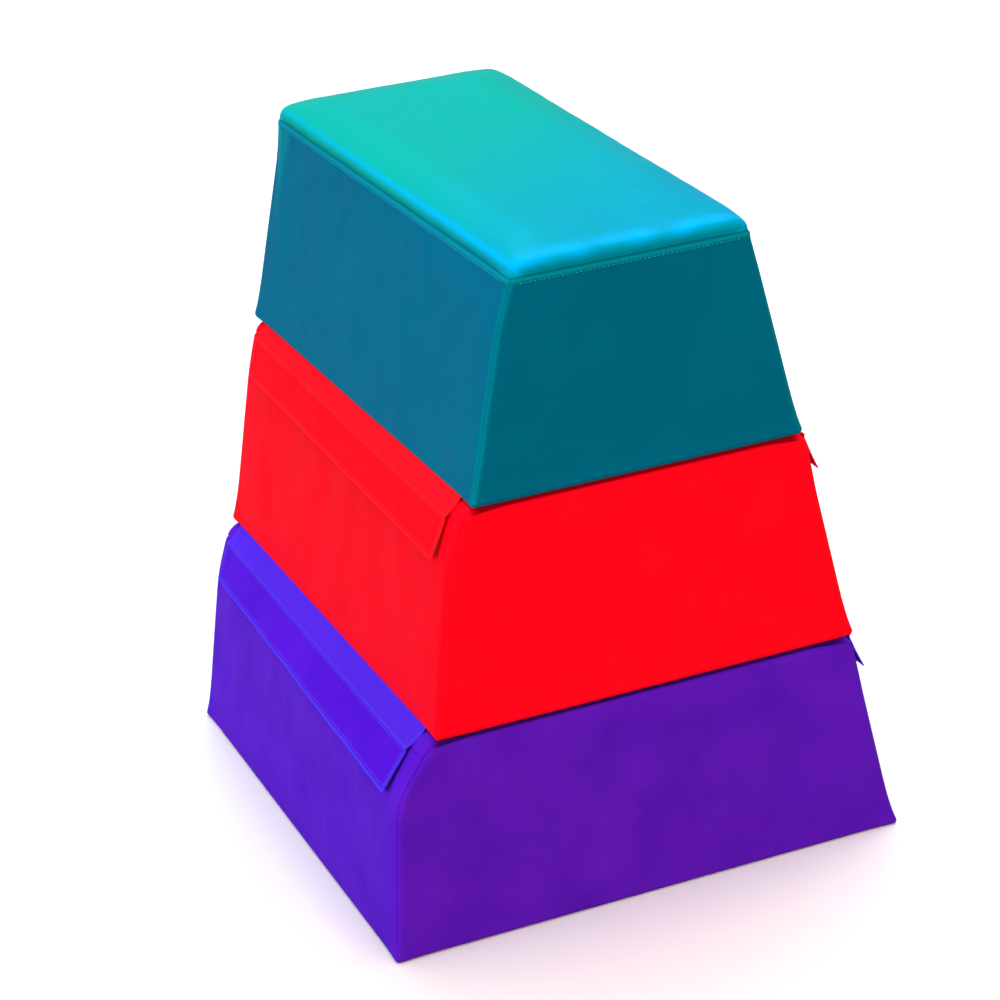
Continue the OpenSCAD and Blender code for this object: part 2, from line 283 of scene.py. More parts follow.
# Radii of a cover's edges and corners in mm, how far its base corners (ears) and the base edge of
# its ends (lip) stick out, and how far the soft stack leans out at its base, towards its top and
# at its top: at the left side's near and far ends, then the right side's. A low bend leans out
# from the base up at once.
coverShape = {
    "bottom": dict(corner=13, baseCorner=5, base=4, topEnd=13, topSide=24, ears=2, lip=0, bend=0.8,
                   leans=((4, 0, 2, 0), (34, 9, -2, 0), (6, 2, -2, 0))),
    "middle": dict(corner=13, baseCorner=5, base=8, topEnd=13, topSide=24, ears=1.5, lip=2.5, bend=1,
                   leans=((0, 0, 6, 3), (14, 3, 2, 2), (4, 0, 4, 2))),
    "top": dict(corner=11, baseCorner=5, base=8, topEnd=9, topSide=15, ears=1.5, lip=2.5, bend=0.6,
                leans=((0, 7, 5, 4), (7, 10, 6, 6), (0, 16, 5, 8))),
}


def readSection(name):
    base, roof, end = (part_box(f"{name}_{part}_panel") for part in ("base", "top", "front"))
    low, height = end[0].z, end[1].z - end[0].z
    slope = (base[1].x - roof[1].x) / (roof[0].z - low)
    return dict(name=name, low=low, height=height, half=base[1].x, slope=slope, length=-end[0].y,
                seam=roof[1].z - roof[0].z, shape=coverShape[name])


sections = {name: readSection(name) for name in ("bottom", "middle", "top")}


# The shares of a section's height at which it has leaned out in full, and from which it turns to
# the lean of its top
leanShape = dict(full=0.7, turn=0.72)


def lean(s, points):
    rise = np.clip((points[:, 2] - s["low"]) / s["height"], 0, 1)
    across = np.clip(0.5 - points[:, 0] / (2 * (s["half"] - s["slope"] * rise * s["height"])), 0, 1)
    near = np.clip(0.5 - points[:, 1] / (2 * s["length"]), 0, 1)
    up = np.clip(rise / leanShape["full"], 0, 1) ** s["shape"]["bend"]
    over = ease((rise - leanShape["turn"]) / (1 - leanShape["turn"]))
    rows = []
    for leftNear, leftFar, rightNear, rightFar in s["shape"]["leans"]:
        left = leftFar + (leftNear - leftFar) * near
        right = rightFar + (rightNear - rightFar) * near
        rows.append(mm * (right * (1 - across) - left * across))
    base, high, top = rows
    return (base + (high - base) * up) * (1 - over) + top * over


# In metres, how far above the base and below the top a corner's radius changes, and how far the
# ears, the lips and the foot that carries both reach. The top's edge takes the side's radius
# from sideFrom radii away.
formShape = dict(fromBase=0.06, fromTop=0.05, ear=0.025, lip=0.02, foot=0.014, sideFrom=2.4)


def form(s, q):
    # points on a sharp-edged section come back on its soft form, with the way out of it there
    shape, half, length, height = s["shape"], s["half"], s["length"], s["height"]
    x, y, z = q.T
    narrow = 1 - s["slope"] * z / half
    fromBase, fromTop = ease(z / formShape["fromBase"]), ease((height - z) / formShape["fromTop"])
    corner = (shape["baseCorner"] + (shape["corner"] - shape["baseCorner"]) * fromBase) * mm
    rx = (corner * fromTop + shape["topSide"] * mm * (1 - fromTop)) / narrow
    ry = corner * fromTop + shape["topEnd"] * mm * (1 - fromTop)
    sideFrom = formShape["sideFrom"]
    toSide = ease((np.abs(x) - (half - sideFrom * rx)) / ((sideFrom - 1) * rx))
    rTop = (shape["topEnd"] + (shape["topSide"] - shape["topEnd"]) * toSide) * mm
    rz = np.where(z < height / 2, shape["base"] * mm, rTop)
    inner = np.stack([np.clip(x, rx - half, half - rx), np.clip(y, ry - length, length - ry),
                      np.clip(z, shape["base"] * mm, height - rTop)], 1)
    radii = np.stack([rx, ry, rz], 1)
    away = (q - inner) / radii
    away /= np.maximum(np.linalg.norm(away, axis=1, keepdims=True), 1)
    points = inner + radii * away
    toX, toY = half - np.abs(x), length - np.abs(y)
    atCorner = np.exp(-(toX / formShape["ear"]) ** 2 - (toY / formShape["ear"]) ** 2)
    foot = mm * np.exp(-(z / formShape["foot"]) ** 2)
    points[:, 0] += np.sign(x) * shape["ears"] * atCorner * foot
    atEnd = np.exp(-(toY / formShape["lip"]) ** 2)
    lips = shape["lip"] * (1 - atCorner) * atEnd
    points[:, 1] += np.sign(y) * (shape["ears"] * atCorner + lips) * foot
    points[:, 0] *= 1 - s["slope"] * points[:, 2] / half
    points[:, 2] += s["low"]
    out = away.copy()
    out[:, 2] += np.abs(away[:, 0]) * s["slope"]
    out /= np.maximum(np.linalg.norm(out, axis=1, keepdims=True), 1)
    return points, out


def waves(points, scales, seed):
    # soft unevenness in the cloth, from -1 to 1, the same each time
    return np.array([noise.noise(Vector((p[0] * scales[0] + seed, p[1] * scales[1], p[2] * scales[2])))
                     for p in points])


def uneven(points, rows):
    # rows of a height, the waves to a metre each way, and a seed
    return sum(rise * waves(points, scales, seed) for rise, scales, seed in rows)


def graded(low, high, step=0.014):
    # places along a panel, closer together towards its edges
    rim = np.array([0, 1, 2.2, 3.8, 6, 9, 13, 18, 24, 31]) * mm
    middle = np.linspace(low + rim[-1], high - rim[-1], max(2, round((high - low - 2 * rim[-1]) / step)))
    return np.concatenate([low + rim[:-1], middle, (high - rim[:-1])[::-1]])


def makeGrid(us, vs, place, keep=None, rim=None):
    # a flat grid, each of whose points is put in its place; its UVs are metres of cloth, and its rim
    # attribute, if given, holds how much painted highlight or painted shade each point gets
    bm = bmesh.new()
    bmesh.ops.create_grid(bm, x_segments=len(us) - 1, y_segments=len(vs) - 1, size=1)
    flat = np.array([v.co for v in bm.verts])
    u = us[np.rint((flat[:, 0] + 1) / 2 * (len(us) - 1)).astype(int)]
    v = vs[np.rint((flat[:, 1] + 1) / 2 * (len(vs) - 1)).astype(int)]
    points, out = place(u, v)
    for vert, p in zip(bm.verts, points):
        vert.co = p
    if rim:
        paintedLightLayer = bm.verts.layers.float.new("rim")
        for vert, amount in zip(bm.verts, np.clip(rim(u, v), 0, 1)):
            vert[paintedLightLayer] = amount
    layer = bm.loops.layers.uv.new("UVMap")
    for face in bm.faces:
        for loop in face.loops:
            loop[layer].uv = (u[loop.vert.index], v[loop.vert.index])
    if keep is not None:
        gone = [f for f in bm.faces if not keep(np.mean([u[w.index] for w in f.verts]),
                                                np.mean([v[w.index] for w in f.verts]))]
        bmesh.ops.delete(bm, geom=gone, context="FACES")
    bm.normal_update()
    if sum(f.normal.dot(Vector(out[f.verts[0].index])) for f in bm.faces) < 0:
        bmesh.ops.reverse_faces(bm, faces=bm.faces)
    return bm


def finishPiece(name, bm, look, body, stands=(), thick=0, levels=0):
    mesh = bpy.data.meshes.new(name)
    bm.to_mesh(mesh)
    bm.free()
    for face in mesh.polygons:
        face.use_smooth = True
    obj = bpy.data.objects.new(name, mesh)
    bpy.context.scene.collection.objects.link(obj)
    mesh.materials.append(materials[look])
    if levels:
        subdivide = obj.modifiers.new("smooth", "SUBSURF")
        subdivide.levels = subdivide.render_levels = levels
        subdivide.boundary_smooth = "PRESERVE_CORNERS"
    if thick:
        wall = obj.modifiers.new("thickness", "SOLIDIFY")
        wall.thickness = thick
        wall.offset = -1
    if stands:
        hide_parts(*stands)
    if body:
        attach(obj, body)
    return obj


print("cloth")
# A firm core fills each cover, so the pressure and the slack are small: the cloth goes up to
# about 2.7 mm, and the cap only guards against a change of these values. A panel's point moves as
# the nearest points of the cloth do.
clothShape = dict(cuts=30, voxel=11, smaller=3, pressure=0.03, slack=0.003, quality=5, frames=20, cap=3,
                  swell=1.3, nearest=5, blur=2)


def loosened():
    # each section's cover is let swell and wrinkle as one closed cloth, and how far each of its
    # points went is kept for the panels, which are sewn along its edges
    scene = bpy.context.scene
    started = {}
    for name, s in sections.items():
        bm = bmesh.new()
        bmesh.ops.create_cube(bm, size=2)
        bmesh.ops.subdivide_edges(bm, edges=bm.edges, cuts=clothShape["cuts"], use_grid_fill=True)
        cube = np.array([v.co for v in bm.verts])
        sharp = cube * [s["half"], s["length"], s["height"] / 2] + [0, 0, s["height"] / 2]
        points, out = form(s, sharp)
        for vert, p in zip(bm.verts, points - out * clothShape["smaller"] * mm):
            vert.co = p
        mesh = bpy.data.meshes.new("cloth")
        bm.to_mesh(mesh)
        bm.free()
        rough = bpy.data.objects.new("cloth", mesh)
        scene.collection.objects.link(rough)
        remesh = rough.modifiers.new("remesh", "REMESH")
        remesh.mode, remesh.voxel_size = "VOXEL", clothShape["voxel"] * mm
        depsgraph = bpy.context.evaluated_depsgraph_get()
        even = bpy.data.meshes.new_from_object(rough.evaluated_get(depsgraph))
        bpy.data.objects.remove(rough)
        cloth = bpy.data.objects.new("cloth", even)
        scene.collection.objects.link(cloth)
        settings = cloth.modifiers.new("cloth", "CLOTH").settings
        settings.use_pressure, settings.uniform_pressure_force = True, clothShape["pressure"]
        settings.effector_weights.gravity = 0
        settings.shrink_min = -clothShape["slack"]
        settings.quality = clothShape["quality"]
        started[name] = cloth
    for frame in range(1, clothShape["frames"] + 1):
        scene.frame_set(frame)
    depsgraph = bpy.context.evaluated_depsgraph_get()
    went = {}
    for name, cloth in started.items():
        before = np.array([v.co for v in cloth.data.vertices])
        after = np.array([v.co for v in cloth.evaluated_get(depsgraph).data.vertices])
        move = after - before
        farthest = round(np.linalg.norm(move, axis=1).max() / mm, 1)
        print("cloth", name, len(before), "points, went up to", farthest, "mm")
        tree = KDTree(len(before))
        for i, p in enumerate(before):
            tree.insert(p, i)
        tree.balance()
        went[name] = (tree, move)
        bpy.data.objects.remove(cloth)
    scene.frame_set(1)
    return went


clothMoves = loosened()


def clothMove(s, points):
    if s["name"] not in clothMoves:
        return np.zeros_like(points)
    tree, move = clothMoves[s["name"]]
    found = np.zeros_like(points)
    for i, p in enumerate(points):
        near = tree.find_n(p, clothShape["nearest"])
        weights = np.array([1 / (d + clothShape["blur"] * mm) ** 2 for _, _, d in near])
        found[i] = (move[[k for _, k, _ in near]] * weights[:, None]).sum(0) / weights.sum()
    cap = clothShape["cap"] * mm
    reach = np.linalg.norm(found, axis=1, keepdims=True)
    return found * np.minimum(1, cap / np.maximum(reach, 1e-9))


# How near a resting face, in metres, the cloth begins to lie flat, how near a face or a corner
# its unevenness fades, and that unevenness in mm
restShape = dict(flat=0.03, fade=0.05, uneven=((1.5, (13, 13, 4), 3), (0.8, (30, 30, 12), 9)))


def settled(s, points, out):
    # where the lean and the loose cloth put these points; faces that rest on others stay flat
    rise = points[:, 2] - s["low"]
    below = rise if s["name"] == "top" else np.minimum(rise, s["height"] - rise)
    cloth = clothMove(s, points)
    if clothMoves:  # its mean swell comes off, as the cloth starts inside the cover's form
        cloth -= out * clothShape["swell"] * mm
    moved = points + cloth * ease(below / restShape["flat"])[:, None]
    toCorner = s["length"] - np.abs(points[:, 1]) + s["half"] - s["slope"] * rise - np.abs(points[:, 0])
    toFace = np.minimum(rise, s["height"] - rise)
    level = ease(toFace / restShape["fade"]) * ease(toCorner / restShape["fade"])
    moved += out * (level * uneven(points, restShape["uneven"]) * mm)[:, None]
    moved[:, 0] += lean(s, points)
    return moved


print("covers")
coverThick = 1  # mm
# A seam's depth and width in mm, the deeper tuck under the rolled top, the ridge below that, and
# how much less it is drawn in at a corner, over what distance
seams = dict(depth=1.6, width=2.6, tuck=3, tuckWidth=4.5, ridge=1.2, ridgeAt=5, ridgeWidth=3,
             corner=0.75, cornerReach=35)
# The padded top in mm: how far in its wrap over the sides and the ends starts, how high it rises
# and how high it rolls at the seam, over what share of its half width and half length it rises,
# over what width it rolls, its soft unevenness inside and along the seam, and its corners
crownShape = dict(wrapSide=26, wrapEnd=20, rise=11, roll=3, riseSide=0.35, riseEnd=0.18, rollWidth=14,
                  uneven=((1.2, (16, 16, 16), 5),), unevenFrom=40,
                  puckers=((0.9, (55, 55, 55), 8),), puckersFrom=10, puckersWidth=30,
                  corner=1.2, cornerReach=12, cornerFrom=10)
# Soft folds that the top seam pulls into one side, near its far end: where each starts in mm, its
# slant, how far down it reaches in mm, and its share of the fold's height
pulledFolds = ((20, 0.14, 150, 1), (46, -0.1, 90, 0.6), (75, 0.35, 60, -0.7))
foldShape = dict(height=3, width=8, start=12)
# Where painted highlights and painted shade go in the coat: how much, how far from the edge and how wide in
# mm
paintedHighlightsAndShade = dict(seam=(0.7, 4, 2.4), pulled=0.8, corner=0.4, cornerWidth=13, fold=(0.85, 0, 4), foldWidth=12,
            foldEdge=6, foldEnd=30, leftRoll=(1, 21, 7), rightRoll=(0.7, 21, 7), farShare=0.25,
            nearRoll=(1, 24, 15), nearPatches=(0.7, 0.9), nearEnd=20, farRoll=(0.5, 18, 6))


def line(distance, at, width):
    return np.exp(-((distance / mm - at) / width) ** 2)


def drawnIn(toCorner):
    # the seam is drawn in less towards the corners, where cloth and foam are stiffest
    return 1 - seams["corner"] * np.exp(-(toCorner / (seams["cornerReach"] * mm)) ** 2)


def band(distance, row):
    amount, at, width = row
    return amount * line(distance, at, width)


def pulled(s, side, u, v):
    if s["name"] != "top" or side != "left":
        return np.zeros_like(u)
    back, down = s["length"] - u, s["height"] - s["seam"] - v
    folds = np.zeros_like(u)
    for start, slant, reach, share in pulledFolds:
        fade = ease(down / (foldShape["start"] * mm)) * (1 - ease(down / (reach * mm)))
        folds += share * line(back - slant * down, start, foldShape["width"]) * fade
    return folds


def crease(distance, depth, width):
    return -depth * mm * np.exp(-(distance / (width * mm)) ** 2)


def wallPanel(s, name, sharp, us, vs, rolled):
    def place(u, v):
        points, out = form(s, sharp(u, v))
        points = settled(s, points, out)
        toSides = np.minimum(u - us[0], us[-1] - u)
        push = crease(toSides, seams["depth"], seams["width"])
        push += crease(v - vs[0], seams["depth"], seams["width"])
        toTop = vs[-1] - v
        deep = seams["tuck"] * drawnIn(toSides) if rolled else seams["depth"]
        push += crease(toTop, deep, seams["width"])
        if rolled:
            push += seams["ridge"] * mm * line(toTop, seams["ridgeAt"], seams["ridgeWidth"])
        push += foldShape["height"] * mm * pulled(s, name, u, v)
        return points + out * push[:, None], out
    return place


def topPlace(s, us, vs):
    half, length, height, seam = s["half"], s["length"], s["height"], s["seam"]
    rolled = s["name"] == "top"

    def place(u, v):
        if rolled:  # the top wraps over all four edges
            u0, v0 = 1 - crownShape["wrapSide"] * mm / half, 1 - crownShape["wrapEnd"] * mm / length
            a, b = u / half, v / length
            down = np.clip(np.maximum((np.abs(a) - u0) / (1 - u0), (np.abs(b) - v0) / (1 - v0)), 0, 1)
            x = half * a / (u0 + down * (1 - u0))
            y = length * b / (v0 + down * (1 - v0))
            drop = down * seam
        else:  # it wraps over the long edges alone
            x = np.clip(u, -half, half)
            y = v
            drop = np.abs(u) - np.abs(x)
        points, out = form(s, np.stack([x, y, height - drop], 1))
        points = settled(s, points, out)
        toSeam = seam - drop
        toCorner = np.hypot(half - np.abs(x), length - np.abs(y))
        if rolled:
            crown = crownShape
            push = crease(toSeam, seams["tuck"] * drawnIn(toCorner), seams["tuckWidth"])
            risen = ease((1 - np.abs(x) / half) / crown["riseSide"])
            risen = risen * ease((1 - np.abs(y) / length) / crown["riseEnd"])
            push += mm * ((crown["rise"] - crown["roll"]) * risen
                          + crown["roll"] * drawnIn(toCorner) * ease(toSeam / (crown["rollWidth"] * mm)))
            push += mm * uneven(points, crown["uneven"]) * ease(toSeam / (crown["unevenFrom"] * mm))
            puckered = 1 - ease((toSeam - crown["puckersFrom"] * mm) / (crown["puckersWidth"] * mm))
            push += mm * uneven(points, crown["puckers"]) * puckered
            atCorner = np.exp(-(toCorner / (crown["cornerReach"] * mm)) ** 2)
            push -= mm * crown["corner"] * atCorner * ease(toSeam / (crown["cornerFrom"] * mm))
        else:
            push = crease(toSeam, seams["depth"], seams["width"])
            push += crease(length - np.abs(y), seams["depth"], seams["width"])
        return points + out * push[:, None], out
    return place


def coverSection(s):
    name, half, length, height, seam = (s[k] for k in ("name", "half", "length", "height", "seam"))
    body, rolled = f"{name}_section", name == "top"
    xs, ys, zs = graded(-half, half), graded(-length, length), graded(0, height - seam)

    # painted highlights on the teal walls: a band below the top seam, along the pulled folds and at the
    # vertical corners
    def wallPaintedHighlights(across, side):
        def rim(u, v):
            atCorner = 1 - ease((across - np.abs(u)) / (paintedHighlightsAndShade["cornerWidth"] * mm))
            return np.maximum.reduce([band(zs[-1] - v, paintedHighlightsAndShade["seam"]), paintedHighlightsAndShade["pulled"] * pulled(s, side, u, v),
                                      paintedHighlightsAndShade["corner"] * atCorner])
        return rim

    # painted shade along the top of a lower section's ends, under the section above
    def foldPaintedShade(u, v):  # where the section above leaves a fold along each end
        return band(v - ends[-1], paintedHighlightsAndShade["fold"]) * ease((half - np.abs(u)) / (paintedHighlightsAndShade["foldEnd"] * mm))

    # painted shade along the ends of a lower section's top, under the section above
    def topFoldPaintedShade(u, v):
        inside = ease((paintedHighlightsAndShade["foldWidth"] * mm - (length - np.abs(v))) / (paintedHighlightsAndShade["foldEdge"] * mm))
        return paintedHighlightsAndShade["fold"][0] * inside * ease((half - np.abs(u)) / (paintedHighlightsAndShade["foldEnd"] * mm))

    # painted highlights on the rolls of the padded top: along its sides, stronger towards the near end, in
    # patches along its near edge, and weaker along its far edge
    def crownPaintedHighlights(u, v):
        near = 0.5 - v / (2 * length)
        highlightPatches = waves(np.stack([u, v, 0 * u], 1), (25, 45, 1), 2)
        sides = np.maximum(band(u + half, paintedHighlightsAndShade["leftRoll"]), band(half - u, paintedHighlightsAndShade["rightRoll"]))
        sides *= paintedHighlightsAndShade["farShare"] + (1 - paintedHighlightsAndShade["farShare"]) * near
        plain, patchy = paintedHighlightsAndShade["nearPatches"]
        front = band(v + length, paintedHighlightsAndShade["nearRoll"]) * (plain + patchy * highlightPatches)
        front *= ease((half - np.abs(u)) / (paintedHighlightsAndShade["nearEnd"] * mm))
        return np.maximum.reduce([sides, front, band(length - v, paintedHighlightsAndShade["farRoll"])])

    for side, sign in sideSign.items():
        def sharpSide(u, v):
            return np.stack([np.full_like(u, sign * half), u, v], 1)

        place = wallPanel(s, side, sharpSide, ys, zs, rolled)
        bm = makeGrid(ys, zs, place, rim=wallPaintedHighlights(length, side) if rolled else None)
        piece = finishPiece(f"{name}_{side}_cover", bm, name, body, [f"{name}_{side}_panel"],
                            coverThick * mm, 1)
    ends = zs if rolled else graded(0, height)
    for end, sign in endSign.items():
        def sharpEnd(u, v):
            return np.stack([u, np.full_like(u, sign * length), v], 1)

        place = wallPanel(s, end, sharpEnd, xs, ends, rolled)
        bm = makeGrid(xs, ends, place, rim=wallPaintedHighlights(half, end) if rolled else foldPaintedShade)
        piece = finishPiece(f"{name}_{end}_cover", bm, name, body, [f"{name}_{end}_panel"],
                            coverThick * mm, 1)
    fold = seam * np.array([0, 0.12, 0.28, 0.46, 0.66, 0.84, 1])
    columns = xs if rolled else np.concatenate([-half - fold[:0:-1], xs, half + fold[1:]])
    bm = makeGrid(columns, ys, topPlace(s, columns, ys), rim=crownPaintedHighlights if rolled else topFoldPaintedShade)
    look = "crown" if rolled else name
    piece = finishPiece(f"{name}_top_cover", bm, look, body, [f"{name}_top_panel"], coverThick * mm, 1)


for s in sections.values():
    coverSection(s)

print("bases")
baseShape = dict(slotWidth=22, lipHeight=3.4, clearance=0.3, thick=0.9)


def coverBase(s):
    name, half, length = s["name"], s["half"], s["length"]
    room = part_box(f"{name}_zip_tapes")[1].y
    slot = baseShape["slotWidth"] / 2 * mm
    rim = np.array([0, 1, 2.2, 3.8, 6, 9, 13]) * mm
    xs = np.concatenate([-half + rim, np.linspace(-half + 0.03, -slot - 0.03, 10),
                         [-slot - 0.012, -slot - 0.004, -slot]])
    xs = np.concatenate([xs, -xs[::-1]])
    ys = np.concatenate([-length + rim, np.linspace(-length + 0.03, -room - 0.02, 6),
                         [-room - 0.006, -room]])
    ys = np.concatenate([ys, np.linspace(-room, room, 40)[1:-1], -ys[::-1]])

    def place(u, v):
        points, out = form(s, np.stack([u, v, np.zeros_like(u)], 1))
        push = crease(half - np.abs(u), seams["depth"], seams["width"])
        push += crease(length - np.abs(v), seams["depth"], seams["width"])
        points = points + out * push[:, None]
        fromZip = ease((np.abs(u) - 2 * slot) / (half - 2 * slot))
        points[:, 0] += lean(s, points) * fromZip  # its edges go with the walls, its slot stays
        points[:, 2] = np.maximum(points[:, 2], s["low"] + baseShape["clearance"] * mm)
        return points, out

    bm = makeGrid(xs, ys, place, keep=lambda u, v: abs(u) > slot or abs(v) > room)
    lip = [e for e in bm.edges if e.is_boundary
           and all(abs(w.co.x) < slot + 1 * mm and abs(w.co.y) < room + 1 * mm for w in e.verts)]
    raised = bmesh.ops.extrude_edge_only(bm, edges=lip)["geom"]
    bmesh.ops.translate(bm, verts=[g for g in raised if isinstance(g, bmesh.types.BMVert)],
                        vec=(0, 0, baseShape["lipHeight"] * mm))
    piece = finishPiece(f"{name}_base_cover", bm, name, f"{name}_section", [f"{name}_base_panel"],
                        baseShape["thick"] * mm)


for s in sections.values():
    coverBase(s)

print("foam")
# How far the foam lies inside its cover in mm, and how much further at the top seam and the base
foamShape = dict(inset=4, seam=5, seamWidth=16, base=9, cuts=20, crowding=1.35)


def foamBlock(s, name, look, low, high, stands):
    bm = bmesh.new()
    bmesh.ops.create_cube(bm, size=2)
    bmesh.ops.subdivide_edges(bm, edges=bm.edges, cuts=foamShape["cuts"], use_grid_fill=True)
    cube = np.array([v.co for v in bm.verts])
    # closer together towards the edges
    edge = np.sign(cube) * (1 - (1 - np.abs(cube)) ** foamShape["crowding"])
    sharp = edge * [s["half"], s["length"], 0] + [0, 0, low] + (edge + 1) / 2 * [0, 0, high - low]
    points, out = form(s, sharp)
    back = np.full(len(sharp), foamShape["inset"] * mm)
    if s["name"] == "top":
        back += crease(s["height"] - s["seam"] - sharp[:, 2], -foamShape["seam"], foamShape["seamWidth"])
    points = settled(s, points, out) - out * back[:, None]
    underside = cube[:, 2] < -0.99
    points[underside, 2] = s["low"] + low + (foamShape["base"] * mm if low == 0 else 0)
    for vert, p in zip(bm.verts, points):
        vert.co = p
    block = finishPiece(name, bm, look, f"{s['name']}_section", stands, 0, 1)


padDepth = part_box("top_pad")[1].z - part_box("top_pad")[0].z
for name in ("bottom", "middle"):
    foamBlock(sections[name], f"{name}_foam", "firmFoam", 0, sections[name]["height"], [f"{name}_core"])
crownBase = sections["top"]["height"] - padDepth
foamBlock(sections["top"], "top_foam", "firmFoam", 0, crownBase - 1 * mm, ["top_core"])
foamBlock(sections["top"], "top_soft_layer", "softFoam", crownBase, sections["top"]["height"],
          ["top_pad"])

print("stitching")
stitchShape = dict(length=4.6, pitch=6, thick=1.3, proud=0.9, belowSeam=8)


def stitchTemplate():
    bm = bmesh.new()
    bmesh.ops.create_uvsphere(bm, u_segments=6, v_segments=4, radius=0.5)
    mesh = bpy.data.meshes.new("stitch")
    bm.to_mesh(mesh)
    bm.free()
    return mesh


oneStitch = stitchTemplate()


def stitchRun(bm, points, out):
    # stitches at an even pitch along a line of close points
    steps = np.concatenate([[0], np.cumsum(np.linalg.norm(np.diff(points, axis=0), axis=1))])
    pitch = stitchShape["pitch"] * mm
    for at in np.arange(pitch / 2, steps[-1], pitch):
        here, ahead = (Vector([np.interp(at + further, steps, points[:, k]) for k in range(3)])
                       for further in (0, 0.5 * mm))
        along = (ahead - here).normalized()
        up = Vector([np.interp(at, steps, out[:, k]) for k in range(3)])
        up = (up - along * up.dot(along)).normalized()
        thick = stitchShape["thick"] * mm
        turn = Matrix((along.cross(up) * thick, up * thick, along * stitchShape["length"] * mm)).transposed()
        copy = oneStitch.copy()
        copy.transform(Matrix.Translation(here) @ turn.to_4x4())
        bm.from_mesh(copy)
        bpy.data.meshes.remove(copy)


threadOf = {"bottom": "violetThread", "middle": "redThread", "top": "tealThread"}

print("flaps")
# A flap in mm: how its hidden edge goes in and up, how far it stands off at its fold and flares at
# its hem, at its far and near ends, and how its hem, its stitches and its fold rise and dip
flapShape = dict(thick=1.8, root=(-4.0, 2.4), blendTo=14, stands=dict(left=(5.2, 5.2), right=(5.2, 8)),
                 flares=dict(left=(2, 3), right=(5, 10)), waviness=1.6, ripples=(9, 12, 1), seed=7,
                 hem=8, hemRise=0.8, stitchAt=0.8, stitchDip=0.5, stitchProud=0.1, foldStitches=4.6,
                 foldRise=1.3, foldWidth=2.2, dip=0.7, dipAt=5, dipWidth=2.5, bandWidth=54)
# Painted highlights on a flap at its hem, its ends and its fold: how much, how far from the edge and how wide
# in mm; and how much lighter its upper band is painted
flapPaintedHighlights = dict(hem=(0.9, 1, 2.2), end=(0.7, 1, 2.2), fold=(0.8, 0, 1.6), above=0.35)
tapeShape = dict(thick=1.4, width=46, gap=0.2)


def wall(s):
    angle = math.atan(s["slope"])
    return dict(cos=math.cos(angle), sin=math.sin(angle), top=s["low"] + s["height"],
                half=s["half"] - s["slope"] * s["height"])


def beside(s, sign, down, out, along):
    # a point beside a sloping side: so far down it, out from it and along it
    w = wall(s)
    x = sign * (w["half"] + down * w["sin"] + out * w["cos"])
    return np.stack([x, along, w["top"] - down * w["cos"] + out * w["sin"]], 1)


def facing(s, sign, count):
    w = wall(s)
    return np.tile(np.array([[sign * w["cos"], 0, w["sin"]]]), (count, 1))


def hung(s, sign, down, out, along):
    # the same, moved with the soft side behind it
    points = beside(s, sign, down, out, along)
    onWall = beside(s, sign, np.maximum(down, 0), np.zeros_like(down), along)
    shift = settled(s, onWall, facing(s, sign, len(down))) - onWall
    return points + shift * ease(down / 0.02)[:, None]


